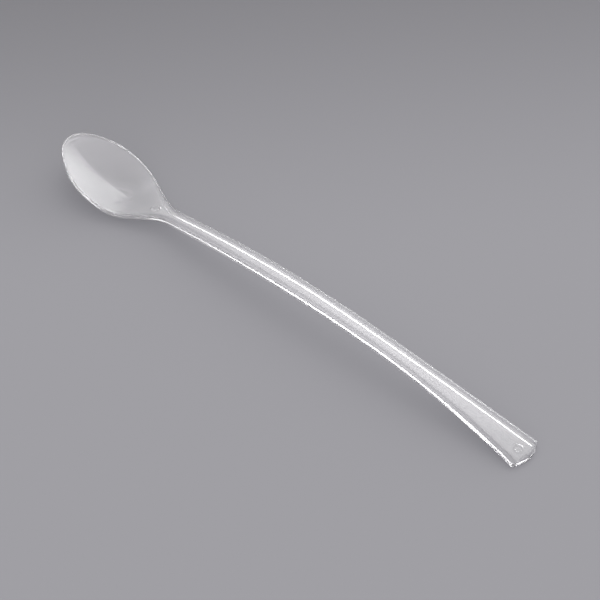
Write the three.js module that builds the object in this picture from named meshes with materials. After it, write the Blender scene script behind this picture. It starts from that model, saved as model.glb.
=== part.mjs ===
// Clear tasting spoon, moulded in one shot of plastic: an egg-shaped bowl with a flat ramp at its
// back, a slim neck and an arched handle with a hollow back that flares to a rounded end.
//
// Millimetres, +Z up. The spoon lies on the table as it is used: on a small flat under the bowl and
// on the end of the handle. X runs from the tip of the bowl to the end of the handle, and the spoon
// is symmetric about Y = 0. Distances called "along" are measured from the tip of the bowl.
//
// The moulding is one piece. Its solids are four lengths of it, cut at three cross-sections: bowl,
// neck, handle and handle_end. Neighbours meet face to face over the whole section.

import * as THREE from 'three';
import { mergeVertices } from 'three/addons/utils/BufferGeometryUtils.js';

// Outline seen from above
const SPOON_LENGTH = 150;
const BOWL_WIDTH = 18.7;
const BOWL_WIDEST_ALONG = 14.6;
const BOWL_TIP_TAPER = 0.11;
const BOWL_BACK_FULLNESS = 1.26;
const NECK_ALONG = 36;
const NECK_WIDTH = 4.4;
const SHANK_ALONG = 80;
const SHANK_WIDTH = 5.3;
const FLARE_LENGTH = 49;
const END_WIDTH = 9.65;
const END_CURVE_LENGTH = 12;
const END_SAGITTA = 1.6;
const GATE_STUB_LENGTH = 0.25;
const GATE_STUB_WIDTH = 1.2;

// Top edge seen from the side: a sloping bowl rim that runs into the arch of the handle
const RIM_TIP_HEIGHT = 8.55;
const RIM_SLOPE = 0.276;
const ARCH_RADIUS = 300;
const ARCH_TOP_ALONG = 84.2;
const RIM_BLEND = 0.4;

// Section: outer sides that lean in towards the top, walls, and rounded top and bottom edges,
// which take no more than a share of the side that they round
const BOWL_SIDE = 1.3;
const HANDLE_SIDE = 1.65;
const SIDE_DRAFT = 0.04;
const BOWL_WALL = 0.75;
const HANDLE_PLATE = 1.38;
const RIM_LAND = 0.5;
const BOWL_ROUNDNESS = 1.4;
const TOP_EDGE_RADIUS = 0.2;
const BOWL_FOOT_RADIUS = 0.45;
const HANDLE_FOOT_RADIUS = 0.15;
const ROUNDED_SHARE = 0.4;

// Hollow back of the handle, between two skirts and an end wall
const SKIRT = 1.27;
const HOLLOW_SLOPE = 0.45;
const HOLLOW_BLEND = 0.075;
const END_WALL = 1.1;

// Bowl floor on the centre line: the lowest point and the ramp to the neck
const FLOOR_LOW_ALONG = 19;
const RAMP_SLOPE = 0.31;
const RAMP_BLEND = 1.5;
const RAMP_TOP_BLEND = 0.12;

// Flats that the spoon rests on: how deep they cut into the bowl and into the handle's end
const BOWL_FOOT_CUT = 0.2;
const END_FOOT_CUT = 0.4;

// Cross-sections where one named length ends and the next begins
const BOWL_TO_NECK_ALONG = 33;
const NECK_TO_HANDLE_ALONG = 44;

// Mesh steps along each length, round an edge, and across the side and the top of the hollow back.
// Easing draws the stations together towards the tip and the columns towards the bowl's edge. The
// columns on the hollow's side reach past its corner, but never over more than a share of the hollow.
const TIP_STEPS = 16;
const RAMP_STEPS = 15;
const NECK_STEPS = 9;
const HANDLE_STEPS = 26;
const END_STEPS = 16;
const EDGE_STEPS = 2;
const SLOPE_STEPS = 3;
const HOLLOW_STEPS = 3;
const TIP_EASING = 1.5;
const EDGE_EASING = 1.3;
const HOLLOW_SIDE_REACH = 1.75;
const HOLLOW_SIDE_SHARE = 0.75;
const MERGE_DISTANCE = 1e-4;

const CLEAR_PLASTIC = { color: 0xdde3e6, roughness: 0.1, metalness: 0, transparent: true, opacity: 0.4 };

const overallLength = SPOON_LENGTH + GATE_STUB_LENGTH;
const flareAlong = SPOON_LENGTH - FLARE_LENGTH;
const endCurveAlong = SPOON_LENGTH - END_CURVE_LENGTH;
const archHeight = HANDLE_SIDE - END_FOOT_CUT + (SPOON_LENGTH - ARCH_TOP_ALONG) ** 2 / (2 * ARCH_RADIUS);
const hollowSideWidth = (HANDLE_SIDE - HANDLE_PLATE) / HOLLOW_SLOPE;

const mix = (from, to, share) => from + (to - from) * share;
const fade = (share) => THREE.MathUtils.smoothstep(share, 0, 1);

// The shares from 1 down to 0 in a number of steps. Easing draws them together towards 1.
const sharesDown = (steps, easing = 1) => (
  Array.from({ length: steps + 1 }, (_, i) => 1 - (i / steps) ** easing)
);

// The greater and the lesser of two heights, with the corner between them rounded
const softMax = (a, b, blend) => (a + b) / 2 + Math.hypot((a - b) / 2, blend);
const softMin = (a, b, blend) => (a + b) / 2 - Math.hypot((a - b) / 2, blend);

// Half the outline's width. The bowl's front is an ellipse that narrows towards the tip, its back is
// a raised cosine down to the neck, the neck eases out to the shank and the shank flares to the end.
// An inset draws the bowl's outline in by the same amount all round.
function halfWidth(along, inset = 0) {
  const widest = BOWL_WIDTH / 2 - inset;
  const neck = NECK_WIDTH / 2 - inset;
  if (along <= BOWL_WIDEST_ALONG) {
    const towardsTip = Math.min((BOWL_WIDEST_ALONG - along) / (BOWL_WIDEST_ALONG - inset), 1);
    return widest * Math.sqrt(1 - towardsTip ** 2) * (1 - BOWL_TIP_TAPER * towardsTip ** 2);
  }
  if (along <= NECK_ALONG) {
    const towardsNeck = (along - BOWL_WIDEST_ALONG) / (NECK_ALONG - BOWL_WIDEST_ALONG);
    return mix(neck, widest, (1 + Math.cos(Math.PI * towardsNeck ** BOWL_BACK_FULLNESS)) / 2);
  }
  const eased = Math.min((along - NECK_ALONG) / (SHANK_ALONG - NECK_ALONG), 1);
  const flared = Math.max(along - flareAlong, 0) / FLARE_LENGTH;
  const shank = mix(NECK_WIDTH, SHANK_WIDTH, Math.sin((eased * Math.PI) / 2));
  return mix(shank, END_WIDTH, flared ** 2) / 2 - inset;
}

// 0 on the bowl and 1 on the handle, with a smooth step from the widest place to the neck
const handleShare = (along) => fade((along - BOWL_WIDEST_ALONG) / (NECK_ALONG - BOWL_WIDEST_ALONG));
const sideHeight = (along) => mix(BOWL_SIDE, HANDLE_SIDE, handleShare(along));
const wallThickness = (along) => mix(BOWL_WALL, HANDLE_PLATE, handleShare(along));

// Height of the top edge
function edgeHeight(along) {
  const rim = RIM_TIP_HEIGHT - RIM_SLOPE * along;
  const arch = archHeight - (along - ARCH_TOP_ALONG) ** 2 / (2 * ARCH_RADIUS);
  return softMax(rim, arch, RIM_BLEND);
}

// Height of the top surface on the centre line: bowl floor, ramp, then the flat top of the handle
function floorHeight(along) {
  const low = BOWL_WALL - BOWL_FOOT_CUT;
  if (along <= FLOOR_LOW_ALONG) {
    const towardsTip = Math.min((FLOOR_LOW_ALONG - along) / (FLOOR_LOW_ALONG - RIM_LAND), 1);
    return mix(low, edgeHeight(RIM_LAND), towardsTip ** 2);
  }
  const ramp = low + RAMP_SLOPE * (Math.hypot(along - FLOOR_LOW_ALONG, RAMP_BLEND) - RAMP_BLEND);
  return softMin(ramp, edgeHeight(along), RAMP_TOP_BLEND);
}

// Height of the top surface: a flat rim land, and inside it the hollow of the bowl
function topHeight(along, y) {
  const edge = edgeHeight(along);
  const inside = halfWidth(along, RIM_LAND);
  if (Math.abs(y) >= inside) {
    return edge;
  }
  return mix(floorHeight(along), edge, Math.abs(y / inside) ** BOWL_ROUNDNESS);
}

// Height of the underside: the bowl's round outside, or the hollow between the handle's skirts, which
// rises from the skirts and from the end wall at an even slope and rounds into its flat top
function underHeight(along, y, station) {
  const bottom = edgeHeight(along) - sideHeight(along);
  const depth = floorHeight(along) - wallThickness(along) - bottom;
  const width = halfWidth(station);
  if (depth < 0) {
    const outside = width > 0 ? Math.abs(y) / width : 1;
    return bottom + depth * (1 - outside ** BOWL_ROUNDNESS);
  }
  if (along < BOWL_WIDEST_ALONG) {
    return bottom;
  }
  const inwards = Math.min(width - Math.abs(y) - SKIRT, SPOON_LENGTH - END_WALL - station);
  const slope = HOLLOW_SLOPE * Math.max(inwards, 0);
  return bottom + Math.max(softMin(slope, depth, HOLLOW_BLEND), 0);
}

// Columns round an edge, from the side to the flat: how far out each lies, and how far off the flat.
// The radius is limited by the side's height, and by the width at the tip.
function edgeColumns(station, lean, fullRadius) {
  const outside = Math.max(halfWidth(station) - lean, 0);
  const radius = Math.min(fullRadius, ROUNDED_SHARE * sideHeight(station), outside);
  return Array.from({ length: EDGE_STEPS + 1 }, (_, i) => {
    const turn = (i / EDGE_STEPS) * (Math.PI / 2);
    const inset = radius * (1 - Math.cos(turn));
    return { y: outside - inset, off: radius * (1 - Math.sin(turn)) };
  });
}

// Moves the column beside the centre line to the gate stub's side, by degrees along the rounded end
function drawnToGate(columns, station) {
  const towardsEnd = fade((station - endCurveAlong) / END_CURVE_LENGTH);
  const beside = columns.at(-2);
  const drawn = { ...beside, y: mix(beside.y, GATE_STUB_WIDTH / 2, towardsEnd) };
  return columns.with(-2, drawn);
}

// Columns of the top surface at a station, from the edge to the centre line
function topColumns(station) {
  const inside = Math.max(halfWidth(station, RIM_LAND), 0);
  const inner = sharesDown(SLOPE_STEPS + HOLLOW_STEPS, EDGE_EASING).map((share) => inside * share);
  const edge = edgeColumns(station, SIDE_DRAFT * sideHeight(station), TOP_EDGE_RADIUS);
  return drawnToGate([...edge, ...inner.map((y) => ({ y, off: 0 }))], station);
}

// Columns of the underside: spread over the bowl, and set on the sides of the hollow on the handle
function underColumns(station) {
  const footRadius = mix(BOWL_FOOT_RADIUS, HANDLE_FOOT_RADIUS, handleShare(station));
  const edge = edgeColumns(station, 0, footRadius);
  const skirtInside = Math.max(halfWidth(station) - SKIRT, 0);
  const reach = Math.min(HOLLOW_SIDE_REACH * hollowSideWidth, HOLLOW_SIDE_SHARE * skirtInside);
  const slope = sharesDown(SLOPE_STEPS).map((share) => skirtInside - reach * (1 - share));
  const hollow = sharesDown(HOLLOW_STEPS).slice(1).map((share) => (skirtInside - reach) * share);
  const onHandle = [...slope, ...hollow];
  const onBowl = sharesDown(onHandle.length, EDGE_EASING).slice(1).map((share) => edge.at(-1).y * share);
  const inner = onHandle.map((y, i) => ({ y: mix(onBowl[i], y, handleShare(station)), off: 0 }));
  return drawnToGate([...edge, ...inner], station);
}

// Both sides of the centre line, from -Y to +Y
function mirrored(columns) {
  const far = columns.slice(0, -1).reverse();
  return [...columns.map((column) => ({ ...column, y: -column.y })), ...far];
}

// Where a point of a station lies along the spoon: the last stations bow into the rounded end, and
// the stub of the gate stands out from the middle of it
function bowedAlong(station, y) {
  const bow = Math.max(station - endCurveAlong, 0) / END_CURVE_LENGTH;
  const stub = Math.max(1 - Math.abs(y) / (GATE_STUB_WIDTH / 2), 0) * GATE_STUB_LENGTH;
  const sideways = y / Math.max(halfWidth(station), RIM_LAND);
  return station - END_SAGITTA * bow ** 2 * sideways ** 2 + (station >= SPOON_LENGTH ? stub : 0);
}

// The closed section at a station: the top from -Y to +Y, then the underside back again. Nothing
// reaches below the table.
function sectionPoints(station) {
  const top = mirrored(topColumns(station)).map(({ y, off }) => {
    const along = bowedAlong(station, y);
    return new THREE.Vector3(along, y, topHeight(Math.min(along, SPOON_LENGTH), y) - off);
  });
  const under = mirrored(underColumns(station)).map(({ y, off }) => {
    const along = bowedAlong(station, y);
    const height = underHeight(Math.min(along, SPOON_LENGTH), y, station) + off;
    return new THREE.Vector3(along, y, Math.max(height, 0));
  });
  return [...top, ...under.reverse()];
}

// A solid lofted through the sections at the given stations, with a flat or bowed face at each end
function loft(stations) {
  const sections = stations.map(sectionPoints);
  const around = sections[0].length;
  const half = around / 2;
  const index = [];
  for (let i = 0; i + 1 < sections.length; i += 1) {
    for (let k = 0; k < around; k += 1) {
      const here = i * around;
      const next = here + around;
      const turn = (k + 1) % around;
      index.push(here + k, next + k, next + turn, here + k, next + turn, here + turn);
    }
  }
  const last = (sections.length - 1) * around;
  for (let k = 0; k + 1 < half; k += 1) {
    const under = around - 1 - k;
    index.push(k, k + 1, under - 1, k, under - 1, under);
    index.push(last + k + 1, last + k, last + under, last + k + 1, last + under, last + under - 1);
  }
  const geometry = new THREE.BufferGeometry().setFromPoints(sections.flat());
  geometry.setIndex(index);
  return closed(geometry);
}

// Merges shared points, and drops the faces that only a point or a line is left of
function closed(geometry) {
  const merged = mergeVertices(geometry, MERGE_DISTANCE);
  const all = merged.index.array;
  const kept = [];
  for (let i = 0; i < all.length; i += 3) {
    const [a, b, c] = all.slice(i, i + 3);
    if (a !== b && b !== c && c !== a) {
      kept.push(a, b, c);
    }
  }
  merged.setIndex(kept);
  merged.computeVertexNormals();
  return merged;
}

// Stations from one cross-section to another. Easing draws them together towards the first one.
function stationsBetween(from, to, steps, easing = 1) {
  return Array.from({ length: steps + 1 }, (_, i) => mix(from, to, (i / steps) ** easing));
}

function lengthOfSpoon(name, stations) {
  const mesh = new THREE.Mesh(loft(stations), new THREE.MeshStandardMaterial(CLEAR_PLASTIC));
  mesh.name = name;
  return mesh;
}

const bowlStations = [
  ...stationsBetween(0, FLOOR_LOW_ALONG, TIP_STEPS, TIP_EASING),
  ...stationsBetween(FLOOR_LOW_ALONG, BOWL_TO_NECK_ALONG, RAMP_STEPS).slice(1),
];

const spoon = new THREE.Group();
spoon.name = 'tasting_spoon';
spoon.position.x = -overallLength / 2;
spoon.add(
  lengthOfSpoon('bowl', bowlStations),
  lengthOfSpoon('neck', stationsBetween(BOWL_TO_NECK_ALONG, NECK_TO_HANDLE_ALONG, NECK_STEPS)),
  lengthOfSpoon('handle', stationsBetween(NECK_TO_HANDLE_ALONG, endCurveAlong, HANDLE_STEPS)),
  lengthOfSpoon('handle_end', stationsBetween(endCurveAlong, SPOON_LENGTH, END_STEPS)),
);

export default spoon;
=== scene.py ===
"""Clear tasting spoon on a grey studio floor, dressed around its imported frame.

The spoon is one moulding, so it is one mesh: a closed section carried from the tip of the bowl to the
end of the handle. Distances called "along" are measured from the tip of the bowl. Metres throughout.
"""

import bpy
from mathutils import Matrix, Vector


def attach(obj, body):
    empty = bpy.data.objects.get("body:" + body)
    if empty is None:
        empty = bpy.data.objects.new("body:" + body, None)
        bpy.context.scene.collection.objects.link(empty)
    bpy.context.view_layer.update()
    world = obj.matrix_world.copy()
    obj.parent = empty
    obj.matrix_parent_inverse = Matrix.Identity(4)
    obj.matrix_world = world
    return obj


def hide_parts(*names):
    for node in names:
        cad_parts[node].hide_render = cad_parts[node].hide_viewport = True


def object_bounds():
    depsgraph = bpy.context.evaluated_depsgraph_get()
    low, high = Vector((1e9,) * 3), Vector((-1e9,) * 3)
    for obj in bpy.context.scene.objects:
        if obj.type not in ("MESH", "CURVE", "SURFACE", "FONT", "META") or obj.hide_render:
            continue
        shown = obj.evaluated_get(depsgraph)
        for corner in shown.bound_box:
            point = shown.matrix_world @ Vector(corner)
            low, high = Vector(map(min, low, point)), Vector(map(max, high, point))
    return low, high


bl_info = {
    "name": "Clear Tasting Spoon",
    "version": (1, 0, 0),
    "blender": (4, 5, 0),
    "location": "View3D > Sidebar > Spoon",
    "description": "Builds a clear moulded tasting spoon and the studio that it lies in",
    "category": "Add Mesh",
}

import math

import bmesh
import bpy
import numpy as np
from bpy.props import FloatProperty, FloatVectorProperty, IntProperty, PointerProperty
from mathutils import Quaternion, Vector

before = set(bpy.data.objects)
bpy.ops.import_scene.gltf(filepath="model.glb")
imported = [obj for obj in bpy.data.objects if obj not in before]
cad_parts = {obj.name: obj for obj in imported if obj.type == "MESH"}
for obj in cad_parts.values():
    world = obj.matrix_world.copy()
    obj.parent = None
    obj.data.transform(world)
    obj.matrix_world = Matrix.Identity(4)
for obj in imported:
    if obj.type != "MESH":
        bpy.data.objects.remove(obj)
CAD_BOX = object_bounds()
NODES = ("bowl", "neck", "handle", "handle_end")
SATIN = "satin"
MERGE_DISTANCE = 2e-7

# Columns close up over the hollow's side: its width in skirts, and the least reach in those widths
HOLLOW_SIDE = 0.8
HOLLOW_FLAT = 1.4
# Stations close up round a pin mark, this many line widths past its ring
PIN_MARGIN = 3
# The bowl's power curve is followed as far as this many half widths from the centre line
RIM_OVERRUN = 3.0
# The rim's inner edge is never softer than this share of the bowl's depth
SOFT_SHARE = 0.125
# The end face is at least this many edge radii tall
END_LEAST_RADII = 3

# The picture's side and the camera's focal length, both in pixels
PICTURE_PIXELS = 600
FOCAL_PIXELS = 4071.4
# Each soft light's turn and elevation in degrees, and its sharpness
SOFT_LIGHTS = {"back": (8, 46, 12), "top": (30, 66, 6), "side": (52, 8, 7), "front": (185, 6, 4)}


def length(name, description, default):
    """A property that holds a length in metres."""
    return FloatProperty(name=name, description=description, default=default, unit="LENGTH", precision=5)


def share(name, description, default):
    """A property that holds a plain ratio or strength."""
    return FloatProperty(name=name, description=description, default=default, precision=3)


def angle(name, description, default):
    """A property that holds an angle in radians."""
    return FloatProperty(name=name, description=description, default=default, subtype="ANGLE")


def color(name, description, default):
    """A property that holds a colour."""
    return FloatVectorProperty(name=name, description=description, default=default, subtype="COLOR")


def count(name, description, default):
    """A property that holds a whole number."""
    return IntProperty(name=name, description=description, default=default, min=1)


class SpoonSizes(bpy.types.PropertyGroup):
    """Sizes of the moulding: those of its solids, with softer bottom edges and the pin marks added."""

    length: length("Length", "Tip of the bowl to the end of the handle", 0.150)
    bowl_width: length("Bowl width", "Widest part of the bowl", 0.01868)
    widest_along: length("Widest along", "Where the bowl is widest", 0.0146)
    tip_taper: share("Tip taper", "How much slimmer than an ellipse the tip is", 0.11)
    back_fullness: share("Back fullness", "How late the bowl's back narrows to the neck", 1.26)
    neck_along: length("Neck along", "Where the neck is slimmest", 0.036)
    neck_width: length("Neck width", "Width of the neck", 0.0044)
    handle_along: length("Handle along", "Where the handle's even stations begin", 0.044)
    shank_along: length("Shank along", "Where the handle has its even width", 0.080)
    shank_width: length("Shank width", "Even width of the handle", 0.0053)
    flare_length: length("Flare length", "Length of the flare at the end", 0.049)
    end_width: length("End width", "Width of the handle at its end", 0.00965)
    end_curve_length: length("End curve", "Length over which sections bow into the round end", 0.012)
    end_sagitta: length("End sagitta", "How far the round end stands out in the middle", 0.0016)
    gate_length: length("Gate stub", "How far the stub of the gate stands out", 0.00022)
    gate_width: length("Gate width", "Width of the stub of the gate", 0.0012)
    rim_tip_height: length("Rim at tip", "Height of the rim at the tip", 0.00855)
    rim_slope: share("Rim slope", "Fall of the rim from the tip", 0.276)
    arch_radius: length("Arch radius", "Radius of the handle's arch", 0.300)
    arch_top_along: length("Arch top", "Where the arch is highest", 0.0842)
    rim_blend: length("Rim blend", "Rounding between rim and arch", 0.0004)
    bowl_side: length("Bowl side", "Height of the outer side of the bowl's rim", 0.0013)
    handle_side: length("Handle side", "Height of the outer side of the handle", 0.00165)
    side_draft: share("Side draft", "How far the sides lean in towards the top", 0.04)
    bowl_wall: length("Bowl wall", "Thickness of the bowl", 0.00075)
    handle_plate: length("Handle plate", "Thickness of the handle's top plate", 0.00138)
    rim_land: length("Rim land", "Width of the flat rim", 0.0005)
    roundness: share("Roundness", "Exponent of the bowl's cross-section", 1.4)
    skirt: length("Skirt", "Distance from the outer edge to the hollow back", 0.00127)
    hollow_slope: share("Hollow slope", "Slope of the sides of the hollow back", 0.45)
    hollow_blend: length("Hollow blend", "Rounding between the sides and the top of the hollow", 0.000075)
    end_wall: length("End wall", "Thickness of the wall at the end", 0.0011)
    floor_low_along: length("Floor low", "Where the bowl is deepest", 0.019)
    ramp_slope: share("Ramp slope", "Slope of the ramp from bowl to neck", 0.31)
    ramp_blend: length("Ramp blend", "Rounding at the foot of the ramp", 0.0015)
    ramp_top_blend: length("Ramp top blend", "Rounding at the top of the ramp", 0.00012)
    bowl_foot_cut: length("Bowl foot", "Depth of the flat under the bowl", 0.0002)
    foot_blend: length("Foot blend", "Rounding between the flats and the underside", 0.00002)
    end_foot_cut: length("End foot", "Depth of the flat under the end", 0.0004)
    edge_radius: length("Edge radius", "Rounding of the top edges", 0.0002)
    bowl_foot_radius: length("Bowl foot radius", "Rounding under the bowl's rim", 0.00045)
    handle_foot_radius: length("Handle foot radius", "Rounding of the handle's bottom edges", 0.00035)
    foot_share: share("Foot share", "Most of a side's height that its rounding may take", 0.4)
    rim_softness: length("Rim softness", "Rounding of the rim's inner edge", 0.00006)
    end_radius: length("End radius", "Rounding of the edges of the end face", 0.00014)
    satin_blend: length("Satin blend", "Width over which the satin finish runs out at the edges", 0.0002)
    pin_depth: length("Pin mark depth", "Depth of the ring that an ejector pin leaves", 0.0002)
    pin_line: length("Pin mark line", "Width of the ring that an ejector pin leaves", 0.0002)
    bowl_pin_along: length("Bowl pin", "Where the pin mark on the ramp is", 0.03)
    bowl_pin_radius: length("Bowl pin radius", "Radius of the pin mark on the ramp", 0.00115)
    end_pin_along: length("End pin", "Where the pin mark near the end is", 0.1464)
    end_pin_radius: length("End pin radius", "Radius of the pin mark near the end", 0.00105)


class SpoonSteps(bpy.types.PropertyGroup):
    """Mesh steps of the moulding."""

    tip: count("Tip", "Stations from the tip to the widest part", 70)
    floor: count("Floor", "Stations from the widest part to the first pin mark", 60)
    pin: count("Pin", "Stations across one pin mark", 30)
    neck: count("Neck", "Stations from the first pin mark to the handle", 30)
    handle: count("Handle", "Stations along the handle", 190)
    end: count("End", "Stations on either side of the second pin mark", 16)
    hollow: count("Hollow", "Columns from the centre line to the hollow's side", 16)
    fillet: count("Fillet", "Columns across the hollow's side", 12)
    land: count("Land", "Columns from the hollow to the edge", 10)
    round: count("Round", "Columns round an edge", 6)
    side: count("Side", "Columns down the side", 3)
    face: count("Face", "Rows down the end face", 8)


class PlasticFinish(bpy.types.PropertyGroup):
    """Clear plastic of the moulding."""

    dull_tint: color("Dull tint", "Colour where the plastic has been handled least", (0.985, 0.975, 0.995))
    bright_tint: color("Bright tint", "Colour where the plastic has been handled most", (1.0, 0.99, 1.0))
    mark_scale: share("Mark scale", "Handling marks to a metre", 260.0)
    mark_detail: share("Mark detail", "Finer layers of handling marks", 4.0)
    gloss: share("Gloss", "Roughness of unmarked plastic", 0.02)
    mark_gloss: share("Mark gloss", "Roughness that a handling mark adds", 0.05)
    edge_clearness: share("Edge clearness", "Share of light that the handle's edges let through", 0.985)
    satin_clearness: share("Satin clearness", "Share of light that bowl and plate let through", 0.85)
    refraction: share("Refraction", "Refractive index", 1.57)
    shadow_tint: color("Shadow tint", "Light that one surface lets through to the floor", (0.74, 0.74, 0.75))


class StudioSettings(bpy.types.PropertyGroup):
    """Camera, floor and light."""

    camera_elevation: angle("Elevation", "Height of the camera above the horizon", math.radians(47.092))
    camera_azimuth: angle(
        "Azimuth", "Turn of the camera round the spoon, 0 looking along +Y", math.radians(40.226))
    camera_roll: angle("Roll", "Turn of the camera about the line that it looks along", math.radians(1.151))
    camera_angle: angle(
        "Field of view", "Field of view of the square picture",
        2 * math.atan(PICTURE_PIXELS / 2 / FOCAL_PIXELS))
    camera_distance: length("Distance", "Camera to the point that it looks at", 1.0)
    camera_reach: length("Reach", "Furthest that the camera sees", 20.0)
    camera_target: FloatVectorProperty(
        name="Target", description="Point on the table that the camera looks at",
        default=(0.00028, 0.00269, 0.0), subtype="TRANSLATION", unit="LENGTH")
    floor_color: color("Floor", "Colour of the floor", (0.338, 0.333, 0.357))
    floor_roughness: share("Floor roughness", "Roughness of the floor", 0.9)
    floor_gloss: share("Floor gloss", "Specular level of the floor", 0.1)
    # Painted shade: from the fade's start to its end, the floor's colour darkens behind the spoon. This
    # stands in for light that falls off away from the spoon.
    floor_far_shade: share("Floor far", "Share of its colour that the floor keeps far behind the spoon", 0.57)
    floor_fade_start: length("Fade start", "Where the floor begins to darken, behind the spoon", 0.007)
    floor_fade_end: length("Fade end", "Where the floor is as dark as it gets", 0.168)
    floor_fade_turn: angle(
        "Fade turn", "Turn of the fade to the left of the camera's far direction", math.radians(8.0))
    floor_size: length("Floor size", "Side of the floor", 6.0)
    floor_drop: length("Floor drop", "Gap between the spoon and the floor", 0.00002)
    fill: share("Fill", "Radiance of the even light from all round", 0.2)
    back: share("Back light", "Radiance of the light behind the spoon", 2.1)
    top: share("Top light", "Radiance of the light above the spoon", 0.8)
    side: share("Side light", "Radiance of the low light behind on the right", 3.3)
    front: share("Front light", "Radiance of the low light in front", 1.8)
    bounces: count("Bounces", "How often light may turn inside the plastic", 64)


def mix(start, end, amount):
    """The value that lies an amount of the way from start to end."""
    return start + (end - start) * amount


def fade(amount):
    """A smooth step: 0 below 0, 1 above 1, and level at both ends."""
    inside = np.clip(amount, 0, 1)
    return inside * inside * (3 - 2 * inside)


def soft_max(a, b, blend):
    """The greater of two heights, with the corner between them rounded."""
    return (a + b) / 2 + np.hypot((a - b) / 2, blend)


def soft_min(a, b, blend):
    """The lesser of two heights, with the corner between them rounded."""
    return (a + b) / 2 - np.hypot((a - b) / 2, blend)


def half_width(size, along, inset=0.0):
    """Half the outline's width: an ellipse that narrows towards the tip, a raised cosine from the
    widest place to the neck, a quarter sine out to the shank and a parabola in the flare."""
    widest = size.bowl_width / 2 - inset
    neck = size.neck_width / 2 - inset
    to_tip = np.clip((size.widest_along - along) / (size.widest_along - inset), 0, 1)
    front = widest * np.sqrt(1 - to_tip**2) * (1 - size.tip_taper * to_tip**2)
    to_neck = np.clip((along - size.widest_along) / (size.neck_along - size.widest_along), 0, 1)
    back = mix(neck, widest, (1 + np.cos(np.pi * to_neck**size.back_fullness)) / 2)
    eased = np.clip((along - size.neck_along) / (size.shank_along - size.neck_along), 0, 1)
    flared = np.clip(along - (size.length - size.flare_length), 0, None) / size.flare_length
    shank = mix(size.neck_width, size.shank_width, np.sin(eased * np.pi / 2))
    handle = mix(shank, size.end_width, flared**2) / 2 - inset
    return np.where(along <= size.widest_along, front, np.where(along <= size.neck_along, back, handle))


def edge_height(size, along):
    """Height of the top edge: the greater of a straight rim that falls from the tip and a parabola
    that arches over the handle."""
    crown = size.handle_side - size.end_foot_cut
    crown += (size.length - size.arch_top_along) ** 2 / (2 * size.arch_radius)
    rim = size.rim_tip_height - size.rim_slope * along
    arch = crown - (along - size.arch_top_along) ** 2 / (2 * size.arch_radius)
    return soft_max(rim, arch, size.rim_blend)


def floor_height(size, along):
    """Height of the top surface on the centre line: a parabola from the lowest place to the tip, and a
    hyperbola that runs into the ramp and stops at the edge height."""
    edge = edge_height(size, along)
    tip_edge = edge_height(size, size.rim_land)
    low = size.bowl_wall - size.bowl_foot_cut
    to_tip = np.clip((size.floor_low_along - along) / (size.floor_low_along - size.rim_land), 0, 1)
    front = mix(low, tip_edge, to_tip**2)
    climb = np.hypot(along - size.floor_low_along, size.ramp_blend) - size.ramp_blend
    back = soft_min(low + size.ramp_slope * climb, edge, size.ramp_top_blend)
    return np.where(along <= size.floor_low_along, front, back)


def top_height(size, along, y):
    """Height of the top surface: from the floor on the centre line to the edge at the rim, as a power
    of the distance across, and level on the rim land."""
    edge = edge_height(size, along)
    floor = floor_height(size, along)
    inside = np.maximum(half_width(size, along, size.rim_land), MERGE_DISTANCE)
    across = np.minimum(np.abs(y) / inside, RIM_OVERRUN)
    softness = np.minimum(size.rim_softness, (edge - floor) * SOFT_SHARE)
    return soft_min(mix(floor, edge, across**size.roundness), edge, np.maximum(softness, 0))


def pin_mark(along, y, place, radius, line):
    """1 on the line of a ring round a pin's place, and 0 away from it: a bell curve across the line."""
    return np.exp(-(((np.hypot(along - place, y) - radius) / line) ** 2))


def handle_share(size, along):
    """0 on the bowl and 1 on the handle, with a smooth step from the widest place to the neck."""
    return fade((along - size.widest_along) / (size.neck_along - size.widest_along))


def satin_share(size, along, y):
    """1 on the bowl and on the handle's plate, and 0 on the clear edges of the handle, with a smooth step
    between the two."""
    inside = half_width(size, along) - np.abs(y) - size.skirt
    inside = np.minimum(inside, size.length - size.end_wall - along)
    return mix(1.0, fade(inside / size.satin_blend + 0.5), handle_share(size, along))


def side_height(size, along):
    """Height of the outer side: low under the bowl's rim and tall on the handle."""
    return mix(size.bowl_side, size.handle_side, handle_share(size, along))


def under_height(size, along, y, station):
    """Height of the underside: the outside of the bowl as a power of the distance across, or the
    hollow back, which rises from the skirts and from the end wall at an even slope and runs into its
    flat top by a hyperbola. Two ring marks are sunk into it, and nothing reaches below the table."""
    bottom = edge_height(size, along) - side_height(size, along)
    thickness = mix(size.bowl_wall, size.handle_plate, handle_share(size, along))
    depth = floor_height(size, along) - thickness - bottom
    width = np.maximum(half_width(size, station), MERGE_DISTANCE)
    outside = np.minimum(np.abs(y) / width, 1)
    bowl = bottom + depth * (1 - outside**size.roundness)
    reach = np.minimum(width - np.abs(y) - size.skirt, size.length - size.end_wall - station)
    hollow = soft_min(size.hollow_slope * np.maximum(reach, 0), depth, size.hollow_blend)
    hollow = bottom + np.maximum(hollow, 0)
    height = np.where(depth < 0, bowl, np.where(along < size.widest_along, bottom, hollow))
    marks = pin_mark(along, y, size.bowl_pin_along, size.bowl_pin_radius, size.pin_line)
    marks += pin_mark(along, y, size.end_pin_along, size.end_pin_radius, size.pin_line)
    return soft_max(height + size.pin_depth * marks, 0, size.foot_blend)


def stations(size, steps):
    """Where the sections are: evenly by angle round the tip, evenly along the rest, and closer
    together across the two pin marks."""
    margin = PIN_MARGIN * size.pin_line
    bowl_pin = size.bowl_pin_radius + margin
    end_pin = size.end_pin_radius + margin
    stretches = (
        (steps.floor, size.bowl_pin_along - bowl_pin),
        (steps.pin, size.bowl_pin_along + bowl_pin),
        (steps.neck, size.handle_along),
        (steps.handle, size.length - size.end_curve_length),
        (steps.end, size.end_pin_along - end_pin),
        (steps.pin, size.end_pin_along + end_pin),
        (steps.end, size.length - size.end_radius),
    )
    places = [size.widest_along * (1 - np.cos(np.linspace(0, np.pi / 2, steps.tip + 1)))]
    for number, stop in stretches:
        places.append(np.linspace(places[-1][-1], stop, number + 1)[1:])
    return np.concatenate(places)


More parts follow.
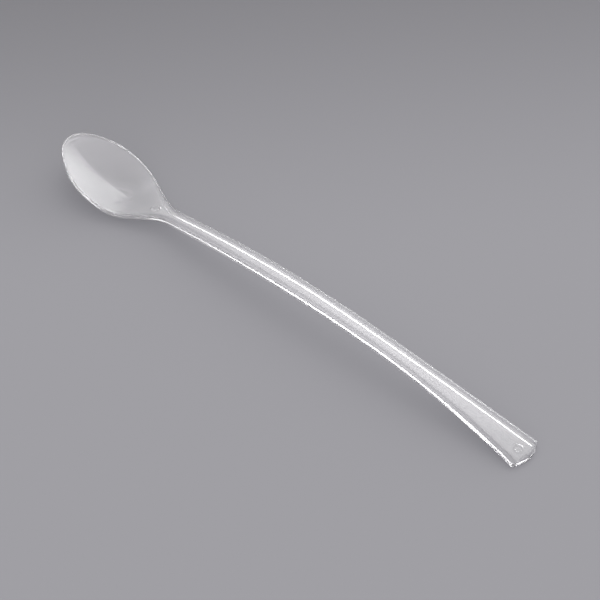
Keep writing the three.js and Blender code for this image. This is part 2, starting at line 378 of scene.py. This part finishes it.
def outline_normals(along, width):
    """Unit normals of the outline in plan, outwards, from the slope of the curve and of its mirror
    image on the other side of the tip."""
    x = np.concatenate([along[1:2], along])
    y = np.concatenate([-width[1:2], width])
    slope_x, slope_y = np.gradient(x)[1:], np.gradient(y)[1:]
    size = np.hypot(slope_x, slope_y)
    return -slope_y / size, slope_x / size


def inner_columns(size, steps, reach, on_handle):
    """Distances across of the columns from the centre line to a reach: even on the bowl, and closer
    together over the hollow's side on the handle."""
    wide = size.skirt * HOLLOW_SIDE
    flat = 1 - wide / np.maximum(reach, wide * HOLLOW_FLAT)
    even = np.linspace(0, 1, steps.hollow + 1)[None]
    rest = np.linspace(0, 1, steps.fillet + 1)[None, 1:]
    handle = np.concatenate([flat * even, mix(flat, 1.0, rest)], 1)
    bowl = np.linspace(0, 1, steps.hollow + steps.fillet + 1)[None]
    return reach * mix(bowl, handle, on_handle)


def sheet_plan(size, steps, station, radius, lean):
    """Columns of the top or of the underside in plan, from the centre line to the outer edge. The last
    ones go round an edge of the radius by angle, set in by the lean. Columns near the edge are set in
    along the outline's normal, and the round end bows as the square of the distance across. Returns the
    places along and across, the edge's turn away from the sheet, and the places along before the bow."""
    width = half_width(size, station)
    on_handle = handle_share(size, station)
    normal_x, normal_y = (n[:, None] for n in outline_normals(station[:, 0], width[:, 0]))
    normal_x = normal_x * (1 - on_handle)
    normal_y = mix(normal_y, 1.0, on_handle)
    inner_y = inner_columns(size, steps, np.maximum(width - size.skirt * normal_y, 0), on_handle)
    inner_x = np.repeat(station - size.skirt * normal_x, inner_y.shape[1], 1)
    turn = np.linspace(0, np.pi / 2, steps.round + 1)[None, 1:]
    across = np.linspace(0, 1, steps.land + 1)[None, 1:]
    land = mix(size.skirt, lean + radius, across)
    inset = np.concatenate([land, lean + radius * (1 - np.sin(turn))], 1)
    away = np.concatenate([inner_y * 0, land * 0, radius * (1 - np.cos(turn))], 1)
    straight = np.concatenate([inner_x, station - inset * normal_x], 1)
    y = np.concatenate([inner_y, np.maximum(width - inset * normal_y, 0)], 1)
    bow = np.clip(straight - (size.length - size.end_curve_length), 0, None) / size.end_curve_length
    sideways = y / np.maximum(width, size.rim_land)
    along = straight - size.end_sagitta * bow**2 * sideways**2
    return along, y, away, straight


def half_section(size, steps, station):
    """Points of the +Y half of every section, from the centre line over the edge and back under to
    the centre line, as three arrays of stations by columns."""
    station = station[:, None]
    side = side_height(size, station)
    foot = mix(size.bowl_foot_radius, size.handle_foot_radius, handle_share(size, station))
    foot = np.minimum(foot, size.foot_share * side)
    rim = np.minimum(size.edge_radius, size.foot_share * side)
    along, y, away, _ = sheet_plan(size, steps, station, rim, size.side_draft * side)
    top = np.stack([along, y, top_height(size, along, y) - away])
    along, y, away, straight = sheet_plan(size, steps, station, foot, 0.0)
    under = np.stack([along, y, under_height(size, along, y, straight) + away])
    down = np.linspace(0, 1, steps.side + 2)[None, None, 1:-1]
    return np.concatenate([top, mix(top[:, :, -1:], under[:, :, -1:], down), under[:, :, ::-1]], 2)


def rounded_end(size, steps, x, y, z):
    """Rows that close in on the end face: the last section moves on by the sine of an angle, and
    shrinks in width and height by one minus its cosine, times the radius of the end's edges."""
    turn = np.linspace(0, np.pi / 2, steps.round + 1)[1:, None]
    inset = size.end_radius * (1 - np.cos(turn))
    ahead = size.end_radius * np.sin(turn)
    middle = (z[-1:] + z[-1:, ::-1]) / 2
    tall = np.abs(z[-1:] - z[-1:, ::-1])
    squeeze = 1 - 2 * inset / max(tall[0, 0], inset.max() * END_LEAST_RADII)
    narrow = 1 - inset / y[-1:].max()
    return (np.concatenate([x, x[-1:] + ahead]),
            np.concatenate([y, y[-1:] * narrow]),
            np.concatenate([z, middle + (z[-1:] - middle) * squeeze]))


def grid_quads(index):
    """Quads between the neighbours of a grid of vertex numbers."""
    corners = (index[:-1, :-1], index[:-1, 1:], index[1:, 1:], index[1:, :-1])
    return np.stack(corners, -1).reshape(-1, 4)


def moulding_arrays(size, steps):
    """Vertices and quads of the closed moulding: the section grid with both halves, and the end face
    as a grid of its own between the top and the bottom of the last section."""
    half = np.stack(rounded_end(size, steps, *half_section(size, steps, stations(size, steps))))
    mirrored = half[:, :, ::-1] * np.array([1, -1, 1])[:, None, None]
    loop = np.concatenate([half, mirrored], 2)
    rows, columns = loop.shape[1:]
    index = np.arange(rows * columns).reshape(rows, columns)
    skin = grid_quads(np.concatenate([index, index[:, :1]], 1))

    middle = half.shape[2] // 2
    upper = np.arange(middle)
    order = np.concatenate([columns - 1 - upper[::-1], upper])
    partner = np.concatenate([columns // 2 + upper[::-1], columns // 2 - 1 - upper])
    down = np.linspace(0, 1, steps.face + 1)[:, None]
    face = mix(loop[:, -1:, order], loop[:, -1:, partner], down)
    stub = np.clip(1 - (face[1] / (size.gate_width / 2)) ** 2, 0, None) * np.sqrt(np.sin(np.pi * down))
    face[0] += size.gate_length * stub
    face_index = index.size + np.arange(stub.size).reshape(stub.shape)
    points = np.concatenate([loop.reshape(3, -1), face.reshape(3, -1)], 1).T
    return points, np.concatenate([skin, grid_quads(face_index)])


def mesh_object(name, points, quads, material, satin=None):
    """A smooth-shaded mesh object at the origin, with doubles merged and normals pointing out, which may
    carry its satin share as an attribute."""
    mesh = bpy.data.meshes.new(name)
    mesh.from_pydata(points, [], quads)
    if satin is not None:
        mesh.attributes.new(SATIN, "FLOAT", "POINT").data.foreach_set("value", satin)
    work = bmesh.new()
    work.from_mesh(mesh)
    bmesh.ops.remove_doubles(work, verts=work.verts, dist=MERGE_DISTANCE)
    bmesh.ops.dissolve_degenerate(work, edges=work.edges, dist=MERGE_DISTANCE)
    bmesh.ops.recalc_face_normals(work, faces=work.faces)
    work.to_mesh(mesh)
    work.free()
    mesh.shade_smooth()
    mesh.materials.append(material)
    piece = bpy.data.objects.new(name, mesh)
    bpy.context.scene.collection.objects.link(piece)
    return piece


class Wire:
    """A node's output. Arithmetic on it adds Math nodes, and node() adds any other node."""

    def __init__(self, tree, socket=None):
        self.tree = tree
        self.socket = socket

    def node(self, kind, settings, sockets, output=0):
        """Adds a node, applies its settings, then sets or links its sockets. Returns one output."""
        made = self.tree.nodes.new(kind)
        for name, value in settings.items():
            setattr(made, name, value)
        for name, value in sockets.items():
            if isinstance(value, Wire):
                self.tree.links.new(value.socket, made.inputs[name])
            else:
                made.inputs[name].default_value = value
        return Wire(self.tree, made.outputs[output]) if len(made.outputs) else None

    def math(self, operation, *values):
        """Adds a Math node with the operation on the values."""
        return self.node("ShaderNodeMath", {"operation": operation}, dict(enumerate(values)))

    def __add__(self, other):
        return self.math("ADD", self, other)

    def __sub__(self, other):
        return self.math("SUBTRACT", self, other)

    def __rsub__(self, other):
        return self.math("SUBTRACT", other, self)

    def __mul__(self, other):
        return self.math("MULTIPLY", self, other)

    __radd__ = __add__
    __rmul__ = __mul__


def new_tree(name):
    """A material with an empty node tree, and a wire to start from."""
    material = bpy.data.materials.new(name)
    material.use_nodes = True
    material.node_tree.nodes.clear()
    return material, Wire(material.node_tree)


def opaque(rgb, level=1.0):
    """A colour at a level, with full alpha."""
    return tuple(part * level for part in rgb) + (1.0,)


def clear_plastic(finish):
    """Clear moulded plastic with fine handling marks: glossy edges, and a faint haze where the satin
    share is 1. Rays to the lights and between matt surfaces pass straight through, with a tint."""
    material, wire = new_tree("clear_plastic")
    place = wire.node("ShaderNodeTexCoord", {}, {}, "Object")
    handling = wire.node("ShaderNodeTexNoise", {}, {
        "Vector": place, "Scale": finish.mark_scale, "Detail": finish.mark_detail})
    tint = wire.node("ShaderNodeMix", {"data_type": "RGBA"}, {
        "Factor": handling, "A": opaque(finish.dull_tint), "B": opaque(finish.bright_tint)}, "Result")
    roughness = handling * finish.mark_gloss + finish.gloss
    edges, satin = (
        wire.node("ShaderNodeBsdfPrincipled", {}, {
            "Base Color": tint, "Roughness": roughness,
            "Transmission Weight": clearness, "IOR": finish.refraction})
        for clearness in (finish.edge_clearness, finish.satin_clearness))
    where_satin = wire.node("ShaderNodeAttribute", {"attribute_name": SATIN}, {}, "Fac")
    seen = wire.node("ShaderNodeMixShader", {}, {0: where_satin, 1: edges, 2: satin})
    shadow = wire.node("ShaderNodeLightPath", {}, {}, "Is Shadow Ray")
    bounced = wire.node("ShaderNodeLightPath", {}, {}, "Is Diffuse Ray")
    passing = wire.node("ShaderNodeBsdfTransparent", {}, {"Color": opaque(finish.shadow_tint)})
    unseen = wire.math("MAXIMUM", shadow, bounced)
    plastic = wire.node("ShaderNodeMixShader", {}, {0: unseen, 1: seen, 2: passing})
    wire.node("ShaderNodeOutputMaterial", {}, {"Surface": plastic})
    return material


def studio_floor(studio):
    """Matt grey floor whose colour darkens a little behind the spoon, by a smooth step along the camera's far
    direction: painted shade that stands in for the light falling off away from the spoon."""
    material, wire = new_tree("studio_floor")
    place = wire.node("ShaderNodeTexCoord", {}, {}, "Object")
    around = studio.camera_azimuth + studio.floor_fade_turn
    far = (-math.sin(around), math.cos(around), 0)
    behind = wire.node("ShaderNodeVectorMath", {"operation": "DOT_PRODUCT"}, {0: place, 1: far}, "Value")
    # Painted shade: the share of the way to the darker floor colour, growing behind the spoon
    dark = wire.node("ShaderNodeMapRange", {"interpolation_type": "SMOOTHSTEP"}, {
        "Value": behind, "From Min": studio.floor_fade_start, "From Max": studio.floor_fade_end})
    paint = wire.node("ShaderNodeMix", {"data_type": "RGBA"}, {
        "Factor": dark, "A": opaque(studio.floor_color),
        "B": opaque(studio.floor_color, studio.floor_far_shade)}, "Result")
    shader = wire.node("ShaderNodeBsdfPrincipled", {}, {
        "Base Color": paint, "Roughness": studio.floor_roughness, "Specular IOR Level": studio.floor_gloss})
    wire.node("ShaderNodeOutputMaterial", {}, {"Surface": shader})
    return material


def direction(around, elevation):
    """A unit vector at an elevation, whose level part is +Y turned to the left by an angle."""
    level = math.cos(elevation)
    return -math.sin(around) * level, math.cos(around) * level, math.sin(elevation)


def soft_sky(studio):
    """A world with an even light and a few soft ones. A soft light falls off from its direction as e to
    the power of its sharpness times the cosine less one. Its turn is from the camera's far direction to
    the right, and its elevation is above the horizon, both in degrees."""
    world = bpy.data.worlds.new("studio_world")
    world.use_nodes = True
    wire = Wire(world.node_tree)
    way = wire.node("ShaderNodeTexCoord", {}, {}, "Generated")
    total = studio.fill
    for name, (turn, elevation, sharpness) in SOFT_LIGHTS.items():
        toward = direction(studio.camera_azimuth - math.radians(turn), math.radians(elevation))
        cosine = wire.node("ShaderNodeVectorMath", {"operation": "DOT_PRODUCT"}, {0: way, 1: toward}, "Value")
        total = total + wire.math("EXPONENT", (cosine - 1.0) * sharpness) * getattr(studio, name)
    background = world.node_tree.nodes["Background"]
    background.inputs["Color"].default_value = (1, 1, 1, 1)
    world.node_tree.links.new(total.socket, background.inputs["Strength"])
    return world


def studio_camera(studio):
    """A camera on a sphere round its target, looking at it, with a small roll."""
    lens = bpy.data.cameras.new("camera")
    lens.angle = studio.camera_angle
    lens.clip_end = studio.camera_reach
    camera = bpy.data.objects.new("camera", lens)
    back = Vector(direction(studio.camera_azimuth + math.pi, studio.camera_elevation))
    camera.location = Vector(studio.camera_target) + back * studio.camera_distance
    roll = Quaternion((0, 0, 1), studio.camera_roll)
    camera.rotation_euler = (back.to_track_quat("Z", "Y") @ roll).to_euler()
    return camera


class SPOON_OT_moulding(bpy.types.Operator):
    """Makes the moulded spoon in place of its solids"""

    bl_idname = "spoon.moulding"
    bl_label = "Make moulding"

    def execute(self, context):
        scene = context.scene
        points, quads = moulding_arrays(scene.spoon_sizes, scene.spoon_steps)
        satin = satin_share(scene.spoon_sizes, points[:, 0], points[:, 1])
        points[:, 0] += CAD_BOX[0][0]
        piece = mesh_object("spoon", points, quads.tolist(), clear_plastic(scene.spoon_finish), satin)
        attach(piece, "root")
        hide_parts(*NODES)
        return {"FINISHED"}


class SPOON_OT_studio(bpy.types.Operator):
    """Makes the floor, the light and the camera"""

    bl_idname = "spoon.studio"
    bl_label = "Make studio"

    def execute(self, context):
        scene = context.scene
        studio = scene.spoon_studio
        reach, drop = studio.floor_size / 2, -studio.floor_drop
        corners = np.array([(x * reach, y * reach, drop) for x, y in ((-1, -1), (1, -1), (1, 1), (-1, 1))])
        mesh_object("floor", corners, [(0, 1, 2, 3)], studio_floor(studio))
        scene.world = soft_sky(studio)
        camera = studio_camera(studio)
        scene.collection.objects.link(camera)
        scene.camera = camera
        scene.view_settings.view_transform = "Standard"
        for kind in ("max_bounces", "transmission_bounces", "glossy_bounces"):
            setattr(scene.cycles, kind, studio.bounces)
        return {"FINISHED"}


class SPOON_PT_panel(bpy.types.Panel):
    """Lists what the spoon is made of"""

    bl_label = "Tasting spoon"
    bl_idname = "SPOON_PT_panel"
    bl_space_type = "VIEW_3D"
    bl_region_type = "UI"
    bl_category = "Spoon"

    def draw(self, context):
        for operator in OPERATORS:
            self.layout.operator(operator.bl_idname)
        for holder in SETTINGS:
            group = getattr(context.scene, holder)
            box = self.layout.box()
            for name in group.__annotations__:
                box.prop(group, name)


OPERATORS = (SPOON_OT_moulding, SPOON_OT_studio)
SETTINGS = {
    "spoon_sizes": SpoonSizes,
    "spoon_steps": SpoonSteps,
    "spoon_finish": PlasticFinish,
    "spoon_studio": StudioSettings,
}
CLASSES = (*SETTINGS.values(), *OPERATORS, SPOON_PT_panel)


def register():
    for cls in CLASSES:
        bpy.utils.register_class(cls)
    for holder, group in SETTINGS.items():
        setattr(bpy.types.Scene, holder, PointerProperty(type=group))


def unregister():
    for holder in SETTINGS:
        delattr(bpy.types.Scene, holder)
    for cls in reversed(CLASSES):
        bpy.utils.unregister_class(cls)


def main():
    register()
    bpy.ops.spoon.moulding()
    bpy.ops.spoon.studio()


if __name__ == "__main__":
    main()
